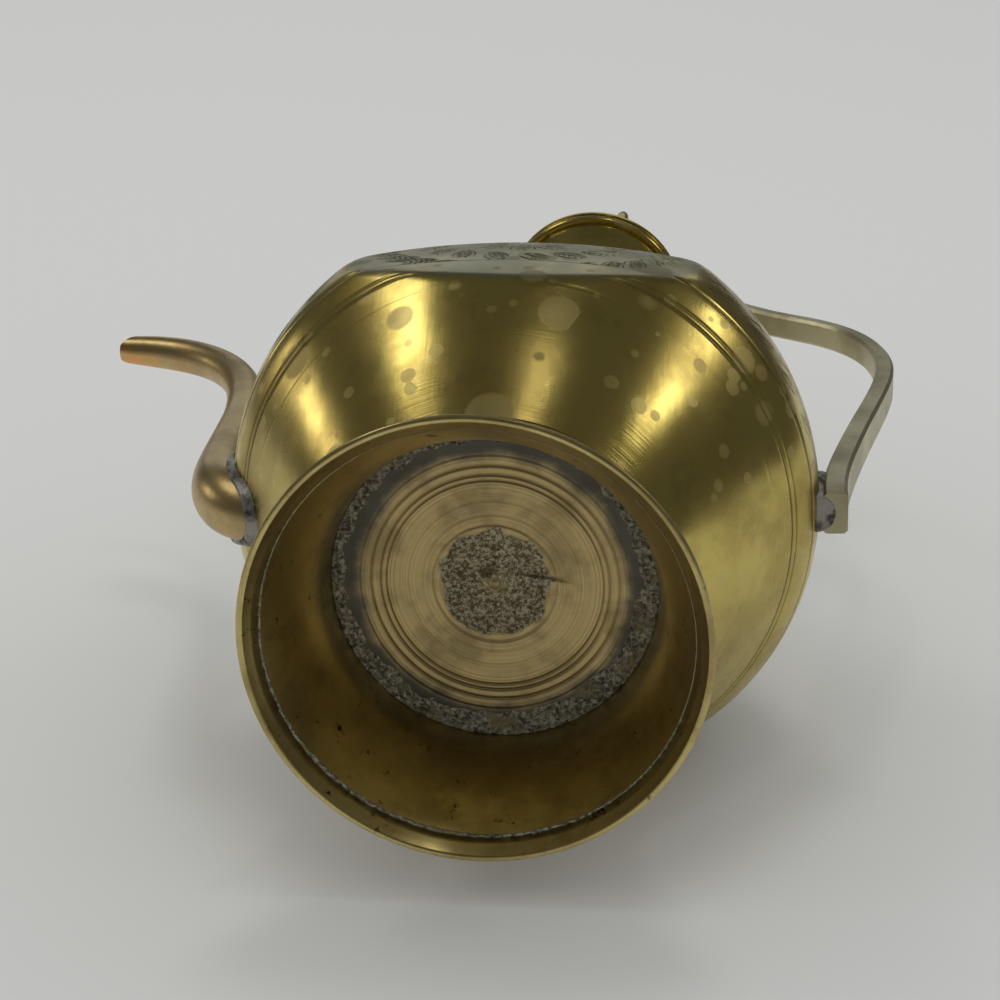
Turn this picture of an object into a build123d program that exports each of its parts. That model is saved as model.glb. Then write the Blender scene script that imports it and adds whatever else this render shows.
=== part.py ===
from build123d import *
import math
import os

# Brass ewer with a flared hollow foot, a round belly flattened front and back, a slender neck with
# a bell mouth, a curved spout on -X, a strap handle on +X and a domed lid hinged at the handle's
# top. Millimetres. +Z up, origin at the middle of the foot, on the surface that it stands on.

# Foot: a cast rim under a flared skirt, with the solder that joins them on the inside
RIM_R = 47.5
RIM_LIP = 1.2
RIM_WIDE = 1.5
RIM_SLOPE = 2.6
RIM_INNER_R = RIM_R - RIM_WIDE
SKIRT_LOW_R = RIM_INNER_R - RIM_SLOPE
SKIRT_LOW_Z = 3.8
SKIRT_MIDDLE = ((39.0, 11.5), (35.6, 20.0))
SKIRT_TOP_R = 33.9
SKIRT_TOP_Z = 31.7
SKIRT_WALL = 1.6
RIM_SOLDER = 0.6

# Base disc, turned on the lathe and let into the bottom of the belly
DISC_LEDGE = 0.7
DISC_R = SKIRT_TOP_R + DISC_LEDGE
DISC_THICK = 2.0
DISC_GROOVES = (12.6, 22.6, 23.8, 25.8)
DISC_GROOVE_DEPTH = 0.3
DIMPLE_R = 1.2
DISC_SOLDER_WIDE = 4.3
DISC_SOLDER_THICK = 0.7

# Belly: outer radius and height from the waist up to the neck
BELLY_WALL = 1.6
WAIST_OUT = 2.1
BELLY_LINE = (
    (SKIRT_TOP_R + WAIST_OUT, SKIRT_TOP_Z), (47.8, 47.6), (59.9, 67.2), (63.4, 73.5), (64.5, 84.0), (62.4, 97.0),
    (56.8, 110.5), (46.6, 125.0), (33.0, 138.5), (22.4, 147.5), (16.6, 155.0),
)
SEAM_Z = 73.5
BAND_GROOVES_Z = (66.5, 67.9)
BAND_GROOVE_DEPTH = 0.4

# Flattened front and back: each side is part of a wide barrel
FLAT_Y = 56.8
FLAT_Z = 70.0
FLAT_ACROSS_R = 190.0
FLAT_UP_R = 120.0
FLAT_REACH_Z = 66.0

# Neck: outer radius and height up to the mouth, whose edge is a rolled bead
NECK_WALL = 1.4
NECK_LINE = (
    (16.6, 155.0), (13.3, 168.0), (12.4, 184.0), (13.4, 202.0), (16.2, 217.0), (21.6, 231.6),
)
COLLAR_R = 2.4
COLLAR_OUT = 0.7
BEAD_R = 1.2
BEAD_OUT = 0.2

# Lid: flange, dome, the sleeve under it that keeps it centred, and the turned finial
LID_GAP = 0.3
FLANGE_OVER = 0.3
FLANGE_THICK = 1.2
DOME_R = 20.4
DOME_RISE = 26.0
DOME_WALL = 1.2
SLEEVE_R = 17.0
SLEEVE_WALL = 1.1
SLEEVE_DROP = 5.0
FINIAL_LINE = (
    (5.6, 0.0), (6.6, 1.6), (5.4, 3.0), (2.6, 5.0), (2.4, 7.6), (5.2, 12.0), (7.4, 17.5),
    (6.6, 22.0), (3.0, 27.0), (2.2, 30.0), (3.9, 33.0), (4.2, 36.0), (2.2, 40.5), (1.5, 46.0),
    (1.9, 50.0), (1.6, 54.0), (0.9, 56.6),
)
FINIAL_TIP_Z = 57.4
STEM_R = 1.5
RIVET_R = 3.0
RIVET_THICK = 1.2

# Hinge at the top of the handle
HINGE_X = 32.0
PIN_R = 0.9
PIN_CLEARANCE = 0.05
PIN_HEAD_R = 1.6
PIN_HEAD_THICK = 0.8
KNUCKLE_R = 2.2
MIDDLE_HALF = 1.5
KNUCKLE_GAP = 0.3
BRACKET_HALF = 3.9
BRACKET_THICK = 2.6
LEAF_THICK = 1.4
LEAF_START_X = 12.0
LEAF_HALF = 4.6
LEAF_WIDE_TO_X = 24.0

# Handle: centre line in the XZ plane, with thickness and width at its two ends
HANDLE_LINE = (
    (68.2, 77.0), (68.0, 90.0), (69.6, 107.0), (73.3, 133.0), (76.6, 155.0), (77.4, 172.0),
    (74.4, 187.0), (69.0, 197.5), (60.3, 206.0), (47.5, 213.8), (38.5, 221.0), (30.0, 225.6),
    (15.0, 227.0),
)
HANDLE_THICK_LOW = 5.4
HANDLE_THICK_HIGH = 3.2
HANDLE_WIDE_LOW = 9.4
HANDLE_WIDE_HIGH = 5.6
HANDLE_CHAMFER = 0.7
FOOT_SOLDER_Z = (76.6, 92.4)
FOOT_SOLDER_HALF = 4.2
NECK_SOLDER_OUT = 2.0
NECK_SOLDER_GROW = 1.2

# Spout: centre line in the XZ plane, then half its outer size across Y and along the profile
SPOUT_LINE = (
    (-50.0, 67.5, 5.6, 6.4), (-58.5, 70.0, 7.2, 7.8), (-65.8, 77.0, 7.6, 7.4),
    (-70.0, 89.5, 6.7, 6.2), (-71.9, 105.0, 5.7, 5.2), (-73.0, 121.0, 5.1, 4.8),
    (-74.8, 137.0, 4.7, 4.5), (-77.8, 150.5, 4.5, 4.4), (-82.6, 161.5, 4.4, 4.3),
    (-90.5, 171.2, 4.3, 4.2), (-100.5, 177.2, 4.2, 4.0), (-108.5, 179.4, 3.9, 3.7),
    (-115.5, 180.4, 3.3, 3.1),
)
SPOUT_WALL = 1.1
SPOUT_OVERRUN = 3.0
SPOUT_TIP = (-112.0, 181.0)
SPOUT_CUT_ANGLE = 40.0
SPOUT_SOLDER_GROW = 0.9
SPOUT_SOLDER_OUT = 1.8

# How closely a radius is looked up on a line, as a share of its length
SEARCH_STEP = 1e-6


def vectors(points):
    return [Vector(r, 0, z) for r, z in points]


def offset_line(points, distance):
    """The points of a smooth line moved sideways, towards the axis for a line that goes up."""
    line = Spline(*vectors(points))
    moved = []
    for r, z in points:
        tangent = line.tangent_at(line.param_at_point(Vector(r, 0, z)))
        moved.append((r - tangent.Z * distance, z + tangent.X * distance))
    return moved


def level_ends(moved, points):
    """Keeps the two end heights of a moved line the same as the line's own."""
    moved[0] = (moved[0][0], points[0][1])
    moved[-1] = (moved[-1][0], points[-1][1])
    return moved


def turned(points, inner=None):
    """A body turned about Z: outside along the points, inside along the inner ones or solid."""
    low, high = points[0], points[-1]
    edges = [Spline(*vectors(points))]
    if inner is None:
        corners = (high, (0, high[1]), (0, low[1]), low)
        edges += [Line(*vectors(pair)) for pair in zip(corners, corners[1:])]
    else:
        edges.append(Line(*vectors((high, inner[-1]))))
        edges.append(Spline(*vectors(inner[::-1])))
        edges.append(Line(*vectors((inner[0], low))))
    return revolve(make_face(Wire(edges)), Axis.Z)


def ring(outer, inner, low, high):
    """A plain ring or disc between two heights."""
    above = (Align.CENTER, Align.CENTER, Align.MIN)
    body = Cylinder(outer, high - low, align=above)
    if inner:
        body -= Cylinder(inner, high - low, align=above)
    return Pos(0, 0, low) * body


def bead(radius, z, thickness):
    return Pos(0, 0, z) * Torus(radius, thickness)


def slab(low, high):
    """A wide block between two heights."""
    size = 4 * RIM_R
    return Pos(0, 0, low) * Box(size, size, high - low, align=(Align.CENTER, Align.CENTER, Align.MIN))


def block(x, y, z):
    """A block between the low and high limits given for each axis."""
    return Pos(sum(x) / 2, sum(y) / 2, sum(z) / 2) * Box(x[1] - x[0], y[1] - y[0], z[1] - z[0])


def rod_y(radius, low, high, x, z):
    """A rod along Y."""
    return Pos(x, (low + high) / 2, z) * Rot(90, 0, 0) * Cylinder(radius, high - low)


def skirt_inner():
    return ((SKIRT_LOW_R, SKIRT_LOW_Z), *SKIRT_MIDDLE, (SKIRT_TOP_R, SKIRT_TOP_Z))


def foot_skirt():
    inner = skirt_inner()
    return turned(level_ends(offset_line(inner, -SKIRT_WALL), inner), inner)


def foot_rim():
    """Flat rim with a rounded edge, bevelled inside, that the skirt stands on."""
    outer_top = level_ends(offset_line(skirt_inner(), -SKIRT_WALL), skirt_inner())[0][0]
    corners = (
        (RIM_INNER_R, 0), (RIM_R - RIM_LIP / 2, 0), (RIM_R, RIM_LIP / 2), (RIM_R, RIM_LIP),
        (outer_top, SKIRT_LOW_Z), (SKIRT_LOW_R, SKIRT_LOW_Z),
    )
    return revolve(make_face(Polyline(*vectors(corners + corners[:1]))), Axis.Z)


def rim_solder():
    """Crusty line of solder where the skirt meets the rim, on the inside."""
    line = bead(SKIRT_LOW_R, SKIRT_LOW_Z, RIM_SOLDER)
    return line - foot_rim() - foot_skirt()


def base_disc():
    disc = ring(DISC_R, 0, SKIRT_TOP_Z, SKIRT_TOP_Z + DISC_THICK)
    for radius in DISC_GROOVES:
        disc -= bead(radius, SKIRT_TOP_Z, DISC_GROOVE_DEPTH)
    return disc - Pos(0, 0, SKIRT_TOP_Z) * Sphere(DIMPLE_R)


def disc_solder():
    low = SKIRT_TOP_Z - DISC_SOLDER_THICK
    return ring(SKIRT_TOP_R, SKIRT_TOP_R - DISC_SOLDER_WIDE, low, SKIRT_TOP_Z) - foot_skirt()


def flat_barrel(inset):
    """The barrel whose face is the flattened side at -Y, smaller by inset."""
    across, up = FLAT_ACROSS_R - inset, FLAT_UP_R - inset
    edge = across - up + math.sqrt(up**2 - FLAT_REACH_Z**2)
    low, high = FLAT_Z - FLAT_REACH_Z, FLAT_Z + FLAT_REACH_Z
    bottom, top = (edge, 0, low), (edge, 0, high)
    outline = Wire([
        ThreePointArc(bottom, (across, 0, FLAT_Z), top),
        Line(top, (0, 0, high)),
        Line((0, 0, high), (0, 0, low)),
        Line((0, 0, low), bottom),
    ])
    barrel = revolve(make_face(outline), Axis.Z)
    caps = ring(across, 0, 0, low) + ring(edge, 0, high, NECK_LINE[0][1])
    return Pos(0, FLAT_ACROSS_R - FLAT_Y, 0) * (barrel + caps)


def belly_fill(inset):
    """The belly as a full solid, smaller by inset all round."""
    outer = list(BELLY_LINE)
    if inset:
        outer = level_ends(offset_line(outer, inset), outer)
    side = flat_barrel(inset)
    return turned(outer) & side & side.mirror(Plane.XZ)


def belly_radius(z):
    """Outer radius of the round part of the belly at a height."""
    line = Spline(*vectors(BELLY_LINE))
    low, high = 0.0, 1.0
    while high - low > SEARCH_STEP:
        middle = (low + high) / 2
        if (line @ middle).Z < z:
            low = middle
        else:
            high = middle
    return (line @ low).X


def belly_wall(outer):
    """The belly's wall, open below for the base disc and cut by the two engraved bands."""
    wall = outer - belly_fill(BELLY_WALL)
    wall -= ring(DISC_R, 0, SKIRT_TOP_Z, SKIRT_TOP_Z + DISC_THICK)
    for z in BAND_GROOVES_Z:
        wall -= bead(belly_radius(z), z, BAND_GROOVE_DEPTH)
    return wall


def neck_tube():
    return turned(NECK_LINE, level_ends(offset_line(NECK_LINE, NECK_WALL), NECK_LINE))


def neck_collar(neck_fill, belly):
    """Half-round ring over the joint of neck and belly."""
    r, z = NECK_LINE[0]
    return bead(r + COLLAR_OUT, z, COLLAR_R) - neck_fill - belly


def mouth_rim(neck):
    """Rolled bead round the mouth, outside the wall of the neck."""
    r, z = NECK_LINE[-1]
    return bead(r + BEAD_OUT, z, BEAD_R) - neck


def spout_fill(grow, overrun=0.0):
    """The spout as a full solid, larger all round by grow, with both ends run on if asked."""
    line = Spline(*vectors([point[:2] for point in SPOUT_LINE]))
    sections = []
    for i, (x, z, across, deep) in enumerate(SPOUT_LINE):
        at = Vector(x, 0, z)
        tangent = line.tangent_at(line.param_at_point(at))
        if i == 0:
            at -= tangent * overrun
        if i == len(SPOUT_LINE) - 1:
            at += tangent * overrun
        plane = Plane(origin=at, x_dir=(0, 1, 0), z_dir=tangent)
        sections.append(plane * Ellipse(across + grow, deep + grow))
    return loft(sections)


def spout_tip_cut():
    """The space over the slanting mouth of the spout."""
    x, z = SPOUT_TIP
    size = RIM_R
    above = Box(size, size, size, align=(Align.CENTER, Align.CENTER, Align.MIN))
    return Pos(x, 0, z) * Rot(0, -SPOUT_CUT_ANGLE, 0) * above


def spout_solder(spout_outer, belly):
    """Fillet of solder round the foot of the spout."""
    grown = turned(level_ends(offset_line(BELLY_LINE, -SPOUT_SOLDER_OUT), BELLY_LINE))
    return (spout_fill(SPOUT_SOLDER_GROW) & grown) - spout_outer - belly


def handle_half(share):
    return (HANDLE_THICK_LOW + (HANDLE_THICK_HIGH - HANDLE_THICK_LOW) * share) / 2


def handle_side(side):
    """Points along one side of the handle's outline."""
    line = Spline(*vectors(HANDLE_LINE))
    points = []
    for x, z in HANDLE_LINE:
        share = line.param_at_point(Vector(x, 0, z))
        tangent = line.tangent_at(share)
        half = side * handle_half(share)
        points.append((x - tangent.Z * half, z + tangent.X * half))
    return points


def handle_fill():
    """The strap, tapering in width from its foot to its top, with its long edges broken."""
    left, right = handle_side(1), handle_side(-1)
    outline = Wire([
        Spline(*vectors(left)),
        Line(*vectors((left[-1], right[-1]))),
        Spline(*vectors(right[::-1])),
        Line(*vectors((right[0], left[0]))),
    ])
    strap = extrude(make_face(outline), HANDLE_WIDE_LOW, both=True)
    low, high = HANDLE_LINE[0][1] - HANDLE_WIDE_LOW, HANDLE_LINE[-1][1] + HANDLE_WIDE_LOW
    wide, narrow = HANDLE_WIDE_LOW / 2, HANDLE_WIDE_HIGH / 2
    taper = Polyline(
        (0, -wide, low), (0, wide, low), (0, narrow, high), (0, -narrow, high), (0, -wide, low)
    )
    strap &= extrude(make_face(taper), 4 * RIM_R, both=True)
    return chamfer([e for e in strap.edges() if e.length > RIM_R], HANDLE_CHAMFER)


def handle_foot_solder(handle, belly):
    """Lump of solder between the foot of the handle and the belly."""
    low, high = FOOT_SOLDER_Z
    x = HANDLE_LINE[0][0]
    lump = Pos(x - FOOT_SOLDER_HALF, 0, (low + high) / 2) * Cylinder(FOOT_SOLDER_HALF, high - low)
    return (lump & block((0, x), (-RIM_R, RIM_R), (low, high))) - handle - belly


def handle_neck_solder(handle, neck_fill, rim):
    """Solder round the top end of the handle, against the neck and below the mouth's bead."""
    x, z = HANDLE_LINE[-1]
    half = HANDLE_WIDE_HIGH / 2 + NECK_SOLDER_GROW
    lump = Pos(x, 0, z) * Rot(0, 90, 0) * Cylinder(half, 4 * half)
    shell = turned(level_ends(offset_line(NECK_LINE, -NECK_SOLDER_OUT), NECK_LINE))
    return (lump & shell) - handle - neck_fill - rim


def flange_base():
    return NECK_LINE[-1][1] + BEAD_R + LID_GAP


def flange_top():
    return flange_base() + FLANGE_THICK


def flange_r():
    return NECK_LINE[-1][0] + BEAD_OUT + BEAD_R + FLANGE_OVER


def hinge_z():
    return flange_top() + LEAF_THICK / 2


def dome_fill(inset):
    """The space under the dome, smaller by inset."""
    base = flange_top()
    radius, rise = DOME_R - inset, DOME_RISE - inset
    middle = math.sqrt(0.5)
    outline = Wire([
        ThreePointArc(
            (radius, 0, base), (radius * middle, 0, base + rise * middle), (0, 0, base + rise)
        ),
        Line((0, 0, base + rise), (0, 0, base)),
        Line((0, 0, base), (radius, 0, base)),
    ])
    return revolve(make_face(outline), Axis.Z)


def lid_flange():
    return ring(flange_r(), SLEEVE_R, flange_base(), flange_top())


def lid_dome():
    stem_hole = ring(STEM_R, 0, flange_top(), flange_top() + 2 * DOME_RISE)
    return dome_fill(0) - dome_fill(DOME_WALL) - stem_hole


def lid_sleeve():
    return ring(SLEEVE_R, SLEEVE_R - SLEEVE_WALL, flange_base() - SLEEVE_DROP, flange_top())


def finial():
    """Turned finial with the stem that goes down through the dome."""
    base = flange_top() + DOME_RISE - DOME_WALL
    top = [(r, base + DOME_WALL + z) for r, z in FINIAL_LINE]
    tip = (0, base + DOME_WALL + FINIAL_TIP_Z)
    foot = (0, flange_top() + DOME_RISE - 2 * DOME_WALL)
    outline = Wire([
        Spline(*vectors(top)),
        Line(*vectors((top[-1], tip))),
        Line(*vectors((tip, foot))),
        Line(*vectors((foot, (top[0][0], foot[1])))),
        Line(*vectors(((top[0][0], foot[1]), top[0]))),
    ])
    knob = revolve(make_face(outline), Axis.Z) - dome_fill(0)
    return knob + ring(STEM_R, 0, base - RIVET_THICK, base + DOME_WALL)


def finial_rivet():
    """The stem's riveted head, a washer inside the dome."""
    top = flange_top() + DOME_RISE - DOME_WALL
    washer = ring(RIVET_R, STEM_R, top - RIVET_THICK, top)
    return washer & dome_fill(DOME_WALL)


def knuckle(low, high):
    return rod_y(KNUCKLE_R, low, high, HINGE_X, hinge_z())


def pin_hole():
    return rod_y(PIN_R + PIN_CLEARANCE, -RIM_R, RIM_R, HINGE_X, hinge_z())


def hinge_bracket(handle):
    """Upright on the handle with two outer knuckles, which hold the ends of the pin tightly."""
    inner = MIDDLE_HALF + KNUCKLE_GAP
    x = (HINGE_X - BRACKET_THICK / 2, HINGE_X + BRACKET_THICK / 2)
    foot_z = HANDLE_LINE[-2][1]
    clear_z = hinge_z() - KNUCKLE_R - KNUCKLE_GAP
    post = block(x, (-BRACKET_HALF, BRACKET_HALF), (foot_z, clear_z))
    ears = block(x, (-BRACKET_HALF, -inner), (clear_z, hinge_z()))
    ears += block(x, (inner, BRACKET_HALF), (clear_z, hinge_z()))
    outer = knuckle(-BRACKET_HALF, -inner) + knuckle(inner, BRACKET_HALF)
    pin = rod_y(PIN_R, -RIM_R, RIM_R, HINGE_X, hinge_z())
    return post + ears + outer - handle - pin


def hinge_pin():
    end = BRACKET_HALF + PIN_HEAD_THICK
    x, z = HINGE_X, hinge_z()
    pin = rod_y(PIN_R, -end, end, x, z)
    pin += rod_y(PIN_HEAD_R, BRACKET_HALF, end, x, z)
    return pin + rod_y(PIN_HEAD_R, -end, -BRACKET_HALF, x, z)


def hinge_leaf():
    """Leaf soldered on the lid, whose middle knuckle turns on the pin."""
    z = (flange_top(), flange_top() + LEAF_THICK)
    leaf = block((LEAF_START_X, LEAF_WIDE_TO_X), (-LEAF_HALF, LEAF_HALF), z)
    leaf += block((LEAF_WIDE_TO_X, HINGE_X), (-MIDDLE_HALF, MIDDLE_HALF), z)
    return leaf + knuckle(-MIDDLE_HALF, MIDDLE_HALF) - dome_fill(0) - pin_hole()


def build():
    belly = belly_fill(0)
    wall = belly_wall(belly)
    spout_outer = spout_fill(0)
    spout_bore = spout_fill(-SPOUT_WALL, SPOUT_OVERRUN)
    wall -= spout_bore
    neck_fill = turned(NECK_LINE)
    neck = neck_tube()
    rim = mouth_rim(neck)
    strap = handle_fill()
    handle = strap - neck_fill
    return {
        "foot_rim": foot_rim(),
        "foot_skirt": foot_skirt(),
        "rim_solder": rim_solder(),
        "base_disc": base_disc(),
        "disc_solder": disc_solder(),
        "lower_belly": wall & slab(0, SEAM_Z),
        "upper_belly": wall & slab(SEAM_Z, NECK_LINE[0][1]),
        "neck_collar": neck_collar(neck_fill, belly),
        "neck_tube": neck,
        "mouth_rim": rim,
        "spout": spout_outer - spout_bore - belly - spout_tip_cut(),
        "spout_solder": spout_solder(spout_outer, belly),
        "handle": handle,
        "handle_foot_solder": handle_foot_solder(handle, belly),
        "handle_neck_solder": handle_neck_solder(strap, neck_fill, rim),
        "hinge_bracket": hinge_bracket(handle),
        "hinge_pin": hinge_pin(),
        "hinge_leaf": hinge_leaf(),
        "lid_flange": lid_flange(),
        "lid_dome": lid_dome(),
        "lid_sleeve": lid_sleeve(),
        "finial": finial(),
        "finial_rivet": finial_rivet(),
    }


os.makedirs("parts", exist_ok=True)
for node, shape in build().items():
    export_step(shape, f"parts/{node}.step")
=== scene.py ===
import math

import bpy
import numpy as np
from mathutils import Matrix, Vector, noise


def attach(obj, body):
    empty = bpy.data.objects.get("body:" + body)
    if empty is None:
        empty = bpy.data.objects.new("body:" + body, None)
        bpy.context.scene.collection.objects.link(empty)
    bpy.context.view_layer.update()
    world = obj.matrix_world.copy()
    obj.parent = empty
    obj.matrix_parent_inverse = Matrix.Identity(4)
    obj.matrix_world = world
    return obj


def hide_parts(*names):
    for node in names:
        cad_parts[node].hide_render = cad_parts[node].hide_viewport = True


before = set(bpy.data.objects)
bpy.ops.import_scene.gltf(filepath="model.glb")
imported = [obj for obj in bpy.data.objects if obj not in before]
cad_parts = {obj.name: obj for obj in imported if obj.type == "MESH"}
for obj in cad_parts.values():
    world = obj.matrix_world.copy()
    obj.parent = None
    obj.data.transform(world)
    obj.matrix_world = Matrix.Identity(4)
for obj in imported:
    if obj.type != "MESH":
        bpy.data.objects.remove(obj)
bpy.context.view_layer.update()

# Lengths here are in millimetres, and turn into metres as the meshes are made.
MM = 0.001

# Foot
RIM_R = 47.4
RIM_INNER_R = 46.1
SKIRT_LOW = (43.4, 3.8)
SKIRT_LINE = (SKIRT_LOW, (39.0, 11.5), (35.6, 20.0), (33.9, 31.7))
SKIRT_WALL = 1.55
RIM_CRUST_R = 0.65

# Base disc: its turned grooves (radius, depth, half-width), pitted middle, hole and scored line
BASE_Z = 31.7
DISC_R = 34.5
DISC_THICK = 1.9
DISC_GROOVES = (
    (12.9, 0.12, 0.3), (15.2, 0.05, 0.3), (18.4, 0.06, 0.3), (22.6, 0.16, 0.30), (23.8, 0.18, 0.30),
    (25.8, 0.16, 0.35), (28.2, 0.08, 0.3),
)
PIT_R = 12.0
PIT_DEPTH = 0.55
BOSS_R = 2.2
EYE_R = 0.9
HOLE_AT = (-1.6, -2.3)
HOLE_DEPTH = 0.5
SCORE = ((4.0, -2.2), (17.5, -0.9), 0.0, 0.4)
SCORE_DEPTH = 0.3

# Ring of solder round the disc
CRUST_OUTER_R = 33.85
CRUST_INNER_R = 30.3
CRUST_FACE_R = 26.5
CRUST_THICK = 0.7
CRUST_BACK = 0.6

# Belly, the cut lines on it (height, half-width, depth) and its flattened sides
BELLY_LINE = (
    (36.0, 31.7), (47.8, 47.6), (59.9, 67.2), (63.4, 73.5), (64.5, 84.0), (62.4, 97.0),
    (56.8, 110.5), (46.6, 125.0), (33.0, 138.5), (22.4, 147.5), (16.6, 155.0),
)
WIDEST_R = BELLY_LINE[4][0]
BELLY_WALL = 1.55
SEAM_Z = 73.5
BAND_GROOVES = ((66.5, 0.28, 0.24), (67.9, 0.28, 0.20), (61.5, 0.20, 0.06))
SEAM_GROOVE = (74.1, 0.30, 0.26)
SHOULDER_GROOVES = ((136.0, 0.4, 0.3), (138.0, 0.4, 0.3))
FLAT_Y = 56.8
FLAT_Z = 70.0
FLAT_ACROSS_R = 190.0
FLAT_UP_R = 120.0
FLAT_REACH = 66.0
FLAT_CORNER = (52.0, 38.5)
CREASE = 1.3

# Engraving: leaves round a rosette on each flattened side, and slanting leaves above the seam
MEDALLION_Z = 95.0
MEDALLION_DEPTH = 0.28
MEDALLION_ACROSS = 1.08
MEDALLION_UP = 0.93
ROSETTE_LEAVES = 8
ROSETTE_R = 3.0
ROSETTE_SIZE = 11.0
INNER_LEAVES = (15.5, 16, 10.0, 0.8, 0.0)
OUTER_LEAVES = (26.0, 30, 9.5, -0.9, 0.5)
SIDE_LEAVES = 34
SIDE_LEAF_Z = 77.5
SIDE_LEAF_SIZE = 14.0
SIDE_LEAF_ANGLE = 0.62
SIDE_DEPTH = 0.16
LEAF_VEINS = 6
LEAF_HALF = 0.20
CUT_FULL = 0.3

# Neck and mouth
NECK_LINE = (
    (16.6, 155.0), (13.3, 168.0), (12.4, 184.0), (13.4, 202.0), (16.2, 217.0), (21.6, 231.6),
)
NECK_WALL = 1.35
COLLAR = (17.3, 155.0, 2.35)
BEAD = (21.8, 231.6, 1.18)

# Mesh fineness
AROUND = 384
FLAT_COLUMNS = 320
PLAIN_COLUMNS = 110
BELLY_POINTS = 4000
LOWER_ROWS = 150
UPPER_ROWS = 340
INNER_STEP = 8
SKIRT_ROWS = 60
NECK_ROWS = 120
BEAD_POINTS = 28
CRUST_COLUMNS = 900
CRUST_POINTS = 14
ROUND = np.linspace(0, 2 * math.pi, AROUND, endpoint=False)


def spline(points, count):
    """Evenly spread points of a smooth line through the given ones (natural cubic)."""
    p = np.array(points, float)
    d = np.concatenate([[0], np.cumsum(np.linalg.norm(np.diff(p, axis=0), axis=1))])
    n = len(p)
    h = np.diff(d)
    a = np.zeros((n, n))
    b = np.zeros((n, p.shape[1]))
    a[0, 0] = a[-1, -1] = 1
    for i in range(1, n - 1):
        a[i, i - 1:i + 2] = h[i - 1], 2 * (h[i - 1] + h[i]), h[i]
        b[i] = 6 * ((p[i + 1] - p[i]) / h[i] - (p[i] - p[i - 1]) / h[i - 1])
    m = np.linalg.solve(a, b)
    t = np.linspace(0, d[-1], count)
    k = np.clip(np.searchsorted(d, t, side="right") - 1, 0, n - 2)
    hk = h[k][:, None]
    u, v = (d[k + 1] - t)[:, None], (t - d[k])[:, None]
    return (m[k] * u**3 + m[k + 1] * v**3) / (6 * hk) + (p[k] / hk - m[k] * hk / 6) * u + (
        p[k + 1] / hk - m[k + 1] * hk / 6) * v


def beside(line, distance):
    """A line moved sideways, outwards from the axis for a line that goes up."""
    t = np.gradient(line, axis=0)
    t /= np.linalg.norm(t, axis=1)[:, None]
    return line + distance * np.stack([t[:, 1], -t[:, 0]], 1)


def mesh(name, grid, node, material, data=None):
    """A piece of the pot in place of its node: a closed grid of points in millimetres, smooth."""
    nu, nv = grid.shape[:2]
    index = np.arange(nu * nv).reshape(nu, nv)
    right = np.roll(index, -1, 0)
    quads = np.stack([index, right, np.roll(right, -1, 1), np.roll(index, -1, 1)], -1)
    me = bpy.data.meshes.new(name)
    me.from_pydata((grid.reshape(-1, 3) * MM).tolist(), [], quads.reshape(-1, 4).tolist())
    for key, values in (data or {}).items():
        layer = me.attributes.new(key, "FLOAT", "POINT")
        layer.data.foreach_set("value", np.ascontiguousarray(values, np.float32).ravel())
    me.polygons.foreach_set("use_smooth", [True] * len(me.polygons))
    me.update()
    piece = bpy.data.objects.new(name, me)
    bpy.context.scene.collection.objects.link(piece)
    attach(piece, "pot")
    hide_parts(node)
    me.materials.append(material)


def turn(line, a=ROUND):
    """Points of an outline turned about Z."""
    line = np.asarray(line)
    r, z = line[:, 0], line[:, 1]
    return np.stack([
        np.cos(a)[:, None] * r, np.sin(a)[:, None] * r, np.broadcast_to(z, (len(a), len(z)))
    ], -1)


def groove(z, marks):
    """Depth at heights z of cut lines given as height, half-width and depth."""
    cut = np.zeros_like(z)
    for at, half, depth in marks:
        cut = np.maximum(cut, depth * np.exp(-((z - at) / half) ** 2))
    return cut


def flat_limit(x, z):
    """How far out the flattened side lies."""
    rise = np.clip(z - FLAT_Z, -FLAT_REACH, FLAT_REACH)
    across = FLAT_ACROSS_R - FLAT_UP_R + np.sqrt(FLAT_UP_R**2 - rise**2)
    return np.sqrt(across**2 - x**2) - (FLAT_ACROSS_R - FLAT_Y)


def soft_min(a, b, blend):
    """The smaller of two values, with a rounded change from one to the other."""
    h = np.clip(0.5 + 0.5 * (b - a) / blend, 0, 1)
    return b + (a - b) * h - blend * h * (1 - h)


def flatten(points, inset=0.0):
    """Presses turned points of the belly in to its two flattened sides."""
    x, y, z = points[..., 0], points[..., 1], points[..., 2]
    limit = flat_limit(x, z) - inset
    pressed = soft_min(np.abs(y), limit, CREASE)
    share = np.clip((np.abs(y) - limit) / CREASE + 0.5, 0, 1)
    return np.stack([x, np.sign(y) * np.minimum(pressed, np.abs(y)), z], -1), share


def fractal(points, size, octaves=3):
    """Smooth noise, about -1 to 1, at each point."""
    flat = points.reshape(-1, 3) / size
    out = np.zeros(len(flat))
    for i in range(octaves):
        step = 2.0**i
        out += [noise.noise(Vector(q)) / step for q in flat * step]
    return out.reshape(points.shape[:-1])


def stroke_cut(u, v, strokes, depth):
    """Depth of engraved strokes at points (u, v): each is (start, end, bow, half-width)."""
    cut = np.zeros_like(u)
    for (u0, v0), (u1, v1), bow, half in strokes:
        du, dv = u1 - u0, v1 - v0
        length = math.hypot(du, dv)
        near = (np.abs(u - (u0 + u1) / 2) < length) & (np.abs(v - (v0 + v1) / 2) < length)
        if not near.any():
            continue
        a, b = u[near] - u0, v[near] - v0
        along = (a * du + b * dv) / length**2
        side = (b * du - a * dv) / length - bow * 4 * along * (1 - along)
        taper = np.clip(1.15 - np.abs(along - 0.42) * 2, 0, 1)
        off = np.where((along > 0) & (along < 1), np.abs(side), 9)
        cut[near] = np.maximum(cut[near], depth * taper * np.exp(-((off / half) ** 2)))
    return cut


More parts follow.
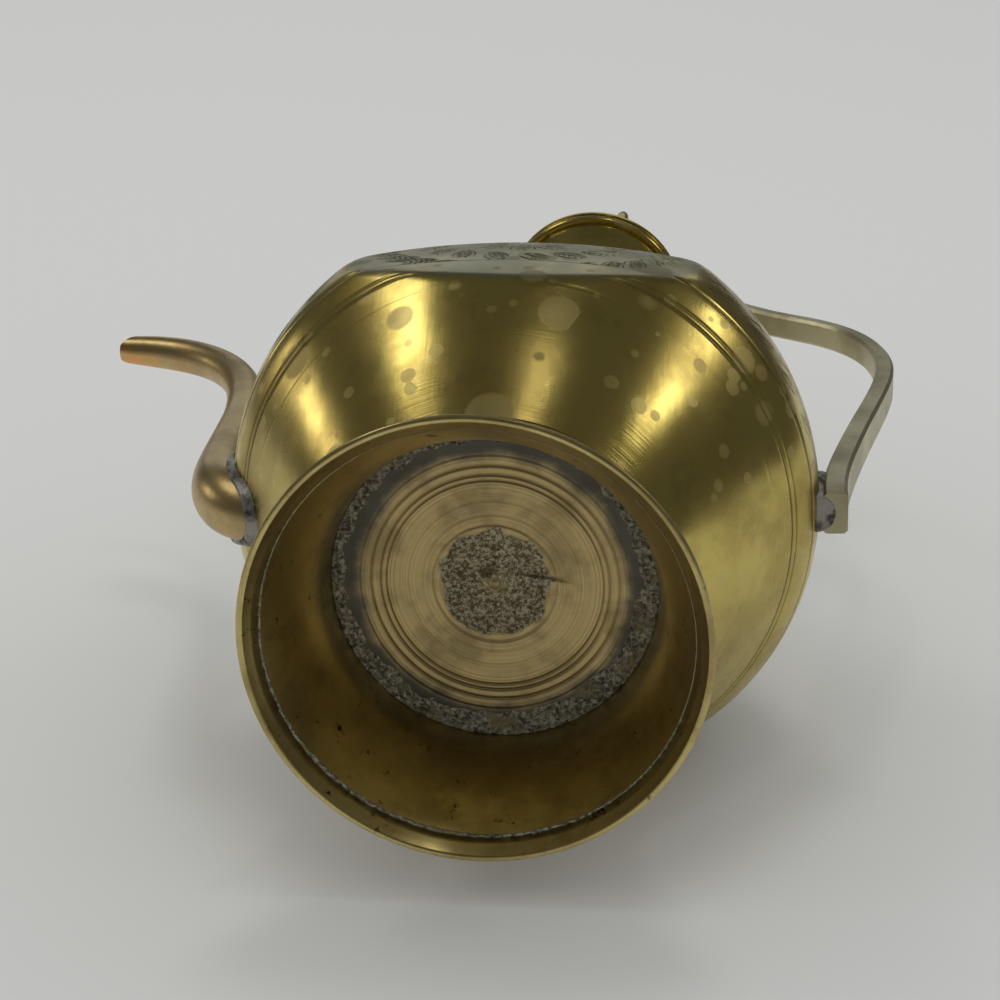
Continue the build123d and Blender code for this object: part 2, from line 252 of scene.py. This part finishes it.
def leaf(at, angle, size, veins=LEAF_VEINS, half=LEAF_HALF):
    """Strokes of one engraved leaf: two bowed edges, a rib and slanting veins, in shares of its size."""
    c, s = math.cos(angle), math.sin(angle)

    def place(p, q):
        return at[0] + size * (p * c - q * s), at[1] + size * (p * s + q * c)

    strokes = [
        (place(0, 0), place(1, 0), 0.24 * size, half), (place(0, 0), place(1, 0), -0.24 * size, half),
        (place(0, 0), place(0.86, 0), 0.0, half),
    ]
    for i in range(veins):
        p = 0.1 + 0.75 * i / veins
        reach = 0.21 * math.sin(math.pi * (p + 0.1))
        for side in (-1, 1):
            strokes.append((place(p, 0), place(p + 0.16, side * reach), 0.02 * size * side, half * 0.8))
    return strokes


def medallion():
    """Strokes engraved on a flattened side, on (x, z) about its middle: leaves round a rosette."""
    strokes = []
    for i in range(ROSETTE_LEAVES):
        angle = 2 * math.pi * i / ROSETTE_LEAVES
        at = (ROSETTE_R * math.cos(angle), ROSETTE_R * math.sin(angle))
        strokes += leaf(at, angle, ROSETTE_SIZE, LEAF_VEINS - 1)
    for ring_r, count, size, turn_by, start in (INNER_LEAVES, OUTER_LEAVES):
        for i in range(count):
            angle = 2 * math.pi * (i + start) / count
            x, z = ring_r * math.cos(angle), ring_r * math.sin(angle)
            strokes += leaf((MEDALLION_ACROSS * x, MEDALLION_UP * z), angle + turn_by, size)
    return strokes


def collar_strokes():
    """Slanting leaves round the belly above the seam, on (length round the belly, z)."""
    strokes = []
    for i in range(SIDE_LEAVES):
        at = 2 * math.pi * WIDEST_R * i / SIDE_LEAVES
        strokes += leaf((at, SIDE_LEAF_Z), SIDE_LEAF_ANGLE, SIDE_LEAF_SIZE, LEAF_VEINS + 2)
        strokes.append(((at + 2.0, SIDE_LEAF_Z + 12.0), (at + 9.0, SIDE_LEAF_Z + 1.0), 0.9, 0.24))
    return strokes


def belly_angles():
    """Angles round the belly, closer together on the flattened sides, where the engraving is."""
    edge = math.atan2(FLAT_CORNER[1], FLAT_CORNER[0])
    side = np.linspace(-math.pi / 2 - edge, -math.pi / 2 + edge, FLAT_COLUMNS, endpoint=False)
    plain = np.linspace(-math.pi / 2 + edge, math.pi / 2 - edge, PLAIN_COLUMNS, endpoint=False)
    return np.concatenate([side, plain, side + math.pi, plain + math.pi])


def outward(line, angles):
    """Directions square to a turned outline at each of its points."""
    along = np.gradient(line, axis=0)
    normal = np.stack([along[:, 1], -along[:, 0]], 1)
    normal /= np.linalg.norm(normal, axis=1)[:, None]
    a = angles[:, None]
    up = np.broadcast_to(normal[:, 1], (len(angles), len(line)))
    return np.stack([np.cos(a) * normal[:, 0], np.sin(a) * normal[:, 0], up], -1)


def belly_part(name, low, high, rows, node):
    """One half of the belly's sheet: cut lines and engraving are in its outer surface."""
    whole = spline(BELLY_LINE, BELLY_POINTS)
    outer = whole[(whole[:, 1] >= low) & (whole[:, 1] <= high)]
    outer = outer[np.linspace(0, len(outer) - 1, rows).astype(int)]
    inner = beside(outer, -BELLY_WALL)[::INNER_STEP][::-1]
    angles = belly_angles()
    skin, flat = flatten(turn(outer, angles))
    core, _ = flatten(turn(inner, angles), BELLY_WALL)
    x, z = skin[..., 0], skin[..., 2]
    on_flat = np.clip(flat * 1.6 - 0.5, 0, 1)
    cut = groove(z, BAND_GROOVES + (SEAM_GROOVE,) + SHOULDER_GROOVES) * (1 - on_flat)
    if high > SEAM_Z:
        ornament = stroke_cut(x, z - MEDALLION_Z, medallion(), MEDALLION_DEPTH) * on_flat
        arc = np.mod(np.arctan2(skin[..., 1], x), 2 * math.pi) * WIDEST_R
        side = stroke_cut(arc, z, collar_strokes(), SIDE_DEPTH) * (1 - on_flat)
        cut = np.maximum(cut, np.maximum(ornament, side))
    press = np.stack([np.zeros_like(x), np.sign(skin[..., 1]), np.zeros_like(x)], -1)
    out = outward(outer, angles) * (1 - on_flat)[..., None] + press * on_flat[..., None]
    skin = skin - out * cut[..., None]
    grid = np.concatenate([skin, core], 1)
    fill = np.zeros(core.shape[:2])
    data = {
        "cut": np.concatenate([cut / CUT_FULL, fill], 1),
        "flat": np.concatenate([on_flat, fill], 1),
    }
    mesh(name, grid, node, brass, data)


def circle(r, z, size, points):
    """The round outline of a ring, at radius r and height z."""
    a = np.linspace(0, 2 * math.pi, points, endpoint=False)
    return np.stack([r + size * np.cos(a), z + size * np.sin(a)], 1)


class Nodes:
    """Short way to write a material's nodes."""

    def __init__(self, name):
        self.material = bpy.data.materials.new(name)
        self.material.use_nodes = True
        self.tree = self.material.node_tree
        self.shader = self.tree.nodes["Principled BSDF"]

    def add(self, kind, inputs=None, **settings):
        node = self.tree.nodes.new(kind)
        for key, value in settings.items():
            setattr(node, key, value)
        for key, value in (inputs or {}).items():
            self.put(node.inputs[key], value)
        return node

    def put(self, socket, value):
        if isinstance(value, bpy.types.NodeSocket):
            self.tree.links.new(value, socket)
        else:
            socket.default_value = value

    def math(self, operation, a, b=0.0, c=0.0):
        return self.add("ShaderNodeMath", {0: a, 1: b, 2: c}, operation=operation).outputs[0]

    def mix(self, factor, a, b):
        node = self.add("ShaderNodeMix", {0: factor, 6: a, 7: b}, data_type="RGBA")
        return node.outputs[2]

    def step(self, value, low, high, to_low=0.0, to_high=1.0):
        """A smooth change from to_low to to_high as the value goes from low to high."""
        node = self.add(
            "ShaderNodeMapRange",
            {0: value, 1: low, 2: high, 3: to_low, 4: to_high}, interpolation_type="SMOOTHSTEP")
        return node.outputs[0]

    def place(self):
        return self.add("ShaderNodeTexCoord").outputs["Object"]

    def noise(self, scale, detail=3.0, rough=0.5, at=None, stretch=None):
        at = at or self.place()
        if stretch:
            at = self.add("ShaderNodeMapping", {"Vector": at, "Scale": stretch}).outputs[0]
        node = self.add("ShaderNodeTexNoise", {
            "Vector": at, "Scale": scale, "Detail": detail, "Roughness": rough})
        return node.outputs[0]

    def attribute(self, name):
        return self.add("ShaderNodeAttribute", attribute_name=name).outputs["Fac"]

    def radius(self):
        """Distance from the Z axis, in metres."""
        flat = self.add("ShaderNodeVectorMath", {0: self.place(), 1: (1, 1, 0)}, operation="MULTIPLY")
        return self.add("ShaderNodeVectorMath", {0: flat.outputs[0]}, operation="LENGTH").outputs["Value"]

    def turning(self, across_radius=False):
        """Fine lathe rings: noise that changes only with height, or only with radius."""
        if across_radius:
            at = self.add("ShaderNodeCombineXYZ", {0: self.radius()}).outputs[0]
            return self.noise(2600, 2.0, 0.6, at)
        return self.noise(1.0, 2.0, 0.6, stretch=(8, 8, 2200))

    def spots(self, scale, low, high, share):
        """Round patches about random points: 1 inside, and only in a share of the cells."""
        cell = self.add("ShaderNodeTexVoronoi", {
            "Vector": self.place(), "Scale": scale, "Randomness": 1.0})
        wide = self.add("ShaderNodeSeparateColor", {0: cell.outputs["Color"]})
        reach = self.math("MULTIPLY_ADD", wide.outputs[0], high - low, low)
        inside = self.step(self.math("SUBTRACT", reach, cell.outputs["Distance"]), -0.03, 0.04)
        return self.math("MULTIPLY", inside, self.math("LESS_THAN", wide.outputs[1], share))

    def bump(self, height, strength, distance, normal=None):
        inputs = {"Height": height, "Strength": strength, "Distance": distance}
        if normal:
            inputs["Normal"] = normal
        return self.add("ShaderNodeBump", inputs).outputs[0]

    def finish(self, tone, metallic, roughness, normal):
        """Puts the results into the shader and gives back the material."""
        self.put(self.shader.inputs["Base Color"], tone)
        self.put(self.shader.inputs["Metallic"], metallic)
        self.put(self.shader.inputs["Roughness"], roughness)
        self.put(self.shader.inputs["Normal"], normal)
        return self.material


# Colours: brass, clean and dark, its water spots, the grey film on the flattened sides, dirt in
# cuts, grime, a painted orange glint at the spout's end, both solders, and the base disc
BRASS = (0.62, 0.50, 0.145, 1)
BRASS_DARK = (0.30, 0.205, 0.055, 1)
FOOT_BRASS = (0.64, 0.52, 0.22, 1)
FOOT_DARK = (0.30, 0.225, 0.085, 1)
HANDLE_BRASS = (0.56, 0.52, 0.34, 1)
HANDLE_DARK = (0.34, 0.29, 0.17, 1)
SPOUT_BRASS = (0.60, 0.45, 0.20, 1)
SPOUT_DARK = (0.38, 0.28, 0.15, 1)
SPOT = (0.60, 0.51, 0.24, 1)
FILM = (0.30, 0.32, 0.25, 1)
CUT_DIRT = (0.06, 0.055, 0.025, 1)
CUT_GREEN = (0.07, 0.11, 0.09, 1)
GRIME = (0.03, 0.024, 0.012, 1)
# Painted glint: orange highlight colour at the spout's end
PAINTED_GLINT = (0.80, 0.36, 0.12, 1)
CRUST_GAP = (0.06, 0.05, 0.032, 1)
CRUST_GREY = (0.50, 0.46, 0.35, 1)
CRUST_BROWN = (0.24, 0.20, 0.10, 1)
SOLDER_GREY = (0.30, 0.29, 0.26, 1)
SOLDER_DIRT = (0.06, 0.052, 0.038, 1)
DISC_LOW = (0.42, 0.305, 0.125, 1)
DISC_HIGH = (0.60, 0.46, 0.22, 1)
DISC_CLOUD = (0.30, 0.24, 0.12, 1)
DISC_CUT = (0.12, 0.09, 0.04, 1)
# Painted shade at the disc's edge
DISC_EDGE_SHADE = (0.10, 0.09, 0.07, 1)
GRIT_DARK = (0.22, 0.18, 0.11, 1)
GRIT_PALE = (0.98, 0.95, 0.76, 1)

# Where the spout's painted orange glint fades in, and where the disc's painted edge shade does, in metres
PAINTED_GLINT_X = (-0.120, -0.088)
SHADE_EDGE_R = (0.0285, 0.0325)


def metal(name, colour, dark, rough, tarnish=0.5, spots=True, grime=None, glint_x=None):
    """Old brass: two tones in soft clouds, brown patches, water spots, lathe rings, a painted orange glint
    at the end.
    """
    n = Nodes(name)
    cloud = n.step(n.noise(38, 5.0, 0.62), 0.38, 0.66)
    tone = n.mix(n.math("MULTIPLY", cloud, tarnish), colour, dark)
    patch = n.step(n.noise(95, 6.0, 0.7), 0.52, 0.62)
    tone = n.mix(n.math("MULTIPLY", patch, 0.45 * tarnish), tone, dark)
    roughness = n.math("MULTIPLY_ADD", cloud, 0.10, rough)
    if spots:
        mark = n.spots(70, 0.12, 0.36, 0.7)
        small = n.spots(170, 0.10, 0.34, 0.5)
        mark = n.math("MAXIMUM", mark, n.math("MULTIPLY", small, 0.7))
        tone = n.mix(n.math("MULTIPLY", mark, 0.40), tone, SPOT)
        roughness = n.math("MULTIPLY_ADD", mark, 0.16, roughness)
    flat = n.attribute("flat")
    grey = n.math("MULTIPLY", flat, n.step(n.noise(60, 4.0, 0.6), 0.25, 0.7, 0.45, 0.85))
    tone = n.mix(grey, tone, FILM)
    roughness = n.math("MULTIPLY_ADD", grey, 0.14, roughness)
    cut = n.attribute("cut")
    dirt = n.mix(flat, CUT_DIRT, CUT_GREEN)
    tone = n.mix(n.step(cut, 0.15, 0.85, 0.0, 0.75), tone, dirt)
    roughness = n.math("MULTIPLY_ADD", n.step(cut, 0.2, 0.8), 0.25, roughness)
    if grime:
        tone = n.mix(n.step(n.noise(210, 6.0, 0.75), *grime), tone, GRIME)
    # Painted glint: orange highlight mixed into the colour in patches towards the spout's end
    if glint_x:
        x = n.add("ShaderNodeSeparateXYZ", {0: n.place()}).outputs[0]
        glint_patches = n.step(n.noise(130, 4.0, 0.6), 0.42, 0.6)
        tone = n.mix(n.math("MULTIPLY", n.step(x, *glint_x, 1.0, 0.0), glint_patches), tone, PAINTED_GLINT)
    ring = n.turning()
    scratch = n.noise(1.0, 2.0, 0.7, stretch=(900, 60, 120))
    normal = n.bump(ring, 0.09, 0.0002)
    normal = n.bump(scratch, 0.05, 0.0002, normal)
    normal = n.bump(n.noise(55, 2.0), 0.10, 0.0016, normal)
    return n.finish(tone, 1.0, roughness, normal)


def crust_material():
    """Grainy grey solder with dark gaps."""
    n = Nodes("solder_crust")
    fine = n.noise(1100, 6.0, 0.75)
    wide = n.noise(150, 4.0, 0.6)
    tone = n.mix(n.step(fine, 0.38, 0.66), CRUST_GAP, CRUST_GREY)
    tone = n.mix(n.step(wide, 0.5, 0.72), tone, CRUST_BROWN)
    return n.finish(tone, 0.6, n.step(fine, 0.3, 0.7, 0.66, 0.42), n.bump(fine, 0.7, 0.0006))


def solder_material():
    """Smooth grey solder that has run, darker where dirt has stayed."""
    n = Nodes("solder")
    dirt = n.step(n.noise(240, 5.0, 0.65), 0.42, 0.62)
    tone = n.mix(dirt, SOLDER_GREY, SOLDER_DIRT)
    normal = n.bump(n.noise(260, 4.0, 0.6), 0.5, 0.0008)
    return n.finish(tone, 0.8, n.math("MULTIPLY_ADD", dirt, 0.25, 0.36), normal)


def disc_material():
    """Turned disc: warm brass with lathe rings, painted shade at its edge and grey in the pitted middle.
    """
    n = Nodes("brass_disc")
    radius = n.radius()
    rings = n.turning(True)
    tone = n.mix(n.step(rings, 0.35, 0.65), DISC_LOW, DISC_HIGH)
    cloud = n.step(n.noise(70, 5.0, 0.65), 0.42, 0.66)
    tone = n.mix(n.math("MULTIPLY", cloud, 0.6), tone, DISC_CLOUD)
    pit = n.attribute("pit")
    speck = n.noise(1300, 3.0, 0.8)
    grit = n.mix(n.step(speck, 0.42, 0.6), GRIT_DARK, GRIT_PALE)
    tone = n.mix(n.math("MULTIPLY", pit, 0.8), tone, grit)
    tone = n.mix(n.step(n.attribute("cut"), 0.2, 0.9, 0.0, 0.7), tone, DISC_CUT)
    # Painted shade: the disc darkens towards its edge, where the skirt meets it
    edge = n.step(n.math("MULTIPLY_ADD", n.noise(120, 4.0, 0.6), 0.006, radius), *SHADE_EDGE_R)
    tone = n.mix(edge, tone, DISC_EDGE_SHADE)
    roughness = n.math("MULTIPLY_ADD", pit, 0.15, n.step(cloud, 0.0, 1.0, 0.34, 0.46))
    normal = n.bump(n.math("MULTIPLY", speck, pit), 0.8, 0.0008, n.bump(rings, 0.25, 0.0002))
    return n.finish(tone, 1.0, roughness, normal)


# Materials
brass = metal("brass_patina", BRASS, BRASS_DARK, 0.20)
brass_foot = metal("brass_foot", FOOT_BRASS, FOOT_DARK, 0.30, 0.7, False, grime=(0.60, 0.70))
brass_handle = metal("brass_handle", HANDLE_BRASS, HANDLE_DARK, 0.38, 0.6, False)
brass_spout = metal("brass_spout", SPOUT_BRASS, SPOUT_DARK, 0.34, 0.7, False, glint_x=PAINTED_GLINT_X)
crust_solder = crust_material()
solder = solder_material()
disc_brass = disc_material()

# Foot: the skirt and the rim
skirt_in = spline(SKIRT_LINE, SKIRT_ROWS)
skirt_out = beside(skirt_in, SKIRT_WALL)
skirt_out[:, 1] = np.clip(skirt_out[:, 1], SKIRT_LOW[1], BASE_Z)
skirt_line = np.concatenate([skirt_in, skirt_out[::-1]])
mesh("FootSkirt", turn(skirt_line), "foot_skirt", brass_foot)
rim_line = (
    (RIM_INNER_R, 0.02), (RIM_R - 0.6, 0.02), (RIM_R - 0.15, 0.2), (RIM_R, 0.6), (RIM_R - 0.05, 1.1),
    (RIM_R - 0.5, 1.5), (skirt_out[0, 0], SKIRT_LOW[1]), SKIRT_LOW,
    (RIM_INNER_R - 1.35, 1.95), (RIM_INNER_R - 0.12, 0.25),
)
mesh("FootRim", turn(rim_line), "foot_rim", brass_foot)

# Crusty line of solder between them, which is thickest towards -X and +Y
crust_angles = np.linspace(0, 2 * math.pi, CRUST_COLUMNS, endpoint=False)
crust = turn(circle(*SKIRT_LOW, RIM_CRUST_R, CRUST_POINTS), crust_angles)
lump = 0.62 + 0.38 * fractal(crust, 1.6, 2)
lump *= np.clip(0.35 + 0.75 * np.cos(crust_angles - 2.0), 0.1, 1)[:, None]
centre = turn([SKIRT_LOW] * CRUST_POINTS, crust_angles)
crust = centre + (crust - centre) * np.clip(lump, 0.05, 1.0)[..., None]
mesh("RimSolder", crust, "rim_solder", crust_solder)

# Base disc with lathe grooves and a pitted middle
disc_r = np.concatenate([np.linspace(0.02, PIT_R + 2, 90), np.linspace(PIT_R + 2.1, DISC_R, 140)])
disc_face = turn(np.stack([disc_r, np.full(len(disc_r), BASE_Z)], 1))
wander = fractal(disc_face, 5.0, 2) * 1.4
pit = np.clip((PIT_R - disc_r[None] - wander) / 0.9, 0, 1)
boss = np.exp(-((disc_r / BOSS_R) ** 2))[None] * np.ones_like(pit)
hollow = (np.abs(fractal(disc_face, 0.9, 3)) * PIT_DEPTH + 0.12) * pit * (1 - boss)
eye = np.exp(-(((disc_r - EYE_R) / 0.35) ** 2))[None] * 0.25
rings = sum(d * np.exp(-((disc_r - r) / w) ** 2) for r, d, w in DISC_GROOVES)[None]
x, y = disc_face[..., 0], disc_face[..., 1]
hole = HOLE_DEPTH * np.exp(-((x - HOLE_AT[0]) ** 2 + (y - HOLE_AT[1]) ** 2) / 1.2)
marks = np.maximum(hole, stroke_cut(x, y, [SCORE], SCORE_DEPTH))
disc_face[..., 2] += np.maximum(hollow + eye + rings, marks)
disc_back = turn([(DISC_R, BASE_Z + DISC_THICK), (0.02, BASE_Z + DISC_THICK)])
fill = np.zeros(disc_back.shape[:2])
mesh("BaseDisc", np.concatenate([disc_face, disc_back], 1), "base_disc", disc_brass, {
    "cut": np.concatenate([np.maximum(rings, marks) / 0.25, fill], 1),
    "pit": np.concatenate([pit * (1 - boss), fill], 1)})

# Crusty ring of solder round the disc, wider towards +X and +Y
crust_r = np.linspace(CRUST_FACE_R, CRUST_OUTER_R, 56)
ring_face = turn(np.stack([crust_r, np.full(len(crust_r), BASE_Z)], 1), crust_angles)
wide = 1.6 * np.clip(np.cos(crust_angles - 1.1), -0.55, 1)[:, None]
inner_edge = CRUST_INNER_R - wide + 1.5 * fractal(ring_face, 4.5, 3)
cover = np.clip((crust_r[None] - inner_edge) / 1.1, -0.6, 1)
height = cover * (0.34 + 0.42 * np.abs(fractal(ring_face, 1.3, 3))) - 0.05
ring_face[..., 2] -= np.clip(height, -0.4, CRUST_THICK)
ring_back = turn([(CRUST_OUTER_R, BASE_Z + CRUST_BACK), (CRUST_FACE_R, BASE_Z + CRUST_BACK)], crust_angles)
mesh("DiscSolder", np.concatenate([ring_face, ring_back], 1), "disc_solder", crust_solder)

# Belly
belly_part("LowerBelly", BELLY_LINE[0][1], SEAM_Z, LOWER_ROWS, "lower_belly")
belly_part("UpperBelly", SEAM_Z, BELLY_LINE[-1][1], UPPER_ROWS, "upper_belly")

# Neck, collar and rolled mouth
neck_out = spline(NECK_LINE, NECK_ROWS)
neck_in = beside(neck_out, -NECK_WALL)
neck_in[:, 1] = np.clip(neck_in[:, 1], NECK_LINE[0][1], NECK_LINE[-1][1])
mesh("NeckTube", turn(np.concatenate([neck_out, neck_in[::-1]])), "neck_tube", brass)
mesh("NeckCollar", turn(circle(*COLLAR, BEAD_POINTS)), "neck_collar", brass)
mesh("MouthRim", turn(circle(*BEAD, BEAD_POINTS)), "mouth_rim", brass)

# CAD nodes that keep their own shape
for node, material in (
    ("handle", brass_handle), ("hinge_bracket", brass_handle), ("hinge_pin", brass_handle),
    ("hinge_leaf", brass_handle), ("spout", brass_spout), ("spout_solder", solder),
    ("handle_foot_solder", solder), ("handle_neck_solder", solder), ("lid_flange", brass),
    ("lid_sleeve", brass), ("finial_rivet", brass), ("lid_dome", brass), ("finial", brass),
):
    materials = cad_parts[node].data.materials
    materials.clear()
    materials.append(material)

# Camera, from a fit of the turned edges, the outline and the finial's tip in the photo
CAMERA_AT = Vector((80.46, -233.40, -531.19)) * MM
CAMERA_RIGHT = Vector((0.99115, 0.02106, 0.131))
CAMERA_DOWN = Vector((0.02683, 0.93508, -0.3534))
FOCAL = 108.0
SENSOR = 36.0
camera = bpy.data.objects.new("Camera", bpy.data.cameras.new("Camera"))
bpy.context.scene.collection.objects.link(camera)
camera.data.lens = FOCAL
camera.data.sensor_width = SENSOR
camera.data.clip_start = 0.01
forward = CAMERA_RIGHT.cross(CAMERA_DOWN).normalized()
right = CAMERA_RIGHT.normalized()
camera.matrix_world = Matrix.Translation(CAMERA_AT) @ Matrix(
    (right, -forward.cross(right), -forward)).transposed().to_4x4()
bpy.context.scene.camera = camera

# Stage: in the photo the ewer lies on its back on a pale table, seen from above
TABLE_Y = FLAT_Y + 0.6
TABLE_X = 900
TABLE_Z = (-500, 1500)
FLOOR_SIZE = 1500
TABLE_COLOUR = (0.60, 0.60, 0.59, 1)
FLOOR_COLOUR = (0.80, 0.80, 0.79, 1)


def stage_plane(name, corners, colour):
    """A plane that is seen from its front only."""
    me = bpy.data.meshes.new(name)
    me.from_pydata([Vector(c) * MM for c in corners], [], [(0, 1, 2, 3)])
    plane = bpy.data.objects.new(name, me)
    bpy.context.scene.collection.objects.link(plane)
    n = Nodes(name)
    n.put(n.shader.inputs["Base Color"], colour)
    n.put(n.shader.inputs["Roughness"], 0.75)
    back = n.add("ShaderNodeNewGeometry").outputs["Backfacing"]
    clear = n.add("ShaderNodeBsdfTransparent")
    both = n.add("ShaderNodeMixShader", {0: back, 1: n.shader.outputs[0], 2: clear.outputs[0]})
    output = n.tree.nodes["Material Output"]
    n.tree.links.new(both.outputs[0], output.inputs["Surface"])
    me.materials.append(n.material)
    return plane


stage_plane("Table", [
    (-TABLE_X, TABLE_Y, TABLE_Z[0]), (TABLE_X, TABLE_Y, TABLE_Z[0]),
    (TABLE_X, TABLE_Y, TABLE_Z[1]), (-TABLE_X, TABLE_Y, TABLE_Z[1])], TABLE_COLOUR)
floor = stage_plane("Floor", [
    (-FLOOR_SIZE, -FLOOR_SIZE, 0), (FLOOR_SIZE, -FLOOR_SIZE, 0),
    (FLOOR_SIZE, FLOOR_SIZE, 0), (-FLOOR_SIZE, FLOOR_SIZE, 0)], FLOOR_COLOUR)
for part in ("visible_diffuse", "visible_glossy", "visible_shadow", "visible_transmission"):
    setattr(floor, part, False)


def lamp(name, toward, away, size, power, colour, mirrored=True):
    """A rectangular lamp in a given direction from the belly's middle, turned to face it."""
    middle = Vector((0, 0, FLAT_Z)) * MM
    data = bpy.data.lights.new(name, "AREA")
    data.shape = "RECTANGLE"
    data.size, data.size_y = size[0] * MM, size[1] * MM
    data.energy = power
    data.color = colour
    light = bpy.data.objects.new(name, data)
    bpy.context.scene.collection.objects.link(light)
    light.location = middle + Vector(toward).normalized() * away * MM
    light.rotation_euler = (middle - light.location).to_track_quat("-Z", "Y").to_euler()
    light.visible_camera = False
    light.visible_glossy = mirrored


# Lamps: one that casts the shadow, and the windows and lamps that the photo's metal mirrors
lamp("ShadowLamp", (0.02, -0.93, 0.36), 1600, (420, 420), 3.4, (1.0, 0.99, 0.97), mirrored=False)
lamp("LeftWindow", (-0.60, -0.77, 0.20), 1200, (240, 480), 1.15, (1.0, 0.97, 0.90))
lamp("RightWindow", (0.79, -0.59, 0.17), 1200, (150, 500), 0.85, (1.0, 0.97, 0.90))
lamp("Ceiling", (0.15, -0.99, -0.08), 1300, (90, 90), 0.45, (1.0, 0.98, 0.94))
lamp("LeftWall", (-0.93, -0.22, 0.30), 1200, (140, 360), 0.45, (1.0, 0.93, 0.82))
lamp("FarWall", (-0.12, -0.30, 0.95), 1500, (1500, 500), 1.2, (0.97, 1.0, 1.0))

# World: dim in the metal, brighter on what is matt, and white behind the stage
METAL_LIGHT = (0.085, 0.085, 0.08, 1)
MATT_LIGHT = (0.72, 0.73, 0.73, 1)
BACKDROP = (0.9, 0.9, 0.9, 1)
world = bpy.data.worlds.new("World")
bpy.context.scene.world = world
world.use_nodes = True
tree = world.node_tree
path = tree.nodes.new("ShaderNodeLightPath")
shade = tree.nodes["Background"].outputs[0]
tree.nodes["Background"].inputs[0].default_value = METAL_LIGHT
for ray, colour in (("Is Diffuse Ray", MATT_LIGHT), ("Is Camera Ray", BACKDROP)):
    light = tree.nodes.new("ShaderNodeBackground")
    light.inputs[0].default_value = colour
    mixer = tree.nodes.new("ShaderNodeMixShader")
    tree.links.new(path.outputs[ray], mixer.inputs[0])
    tree.links.new(shade, mixer.inputs[1])
    tree.links.new(light.outputs[0], mixer.inputs[2])
    shade = mixer.outputs[0]
tree.links.new(shade, tree.nodes["World Output"].inputs["Surface"])

bpy.context.scene.view_settings.view_transform = "Standard"
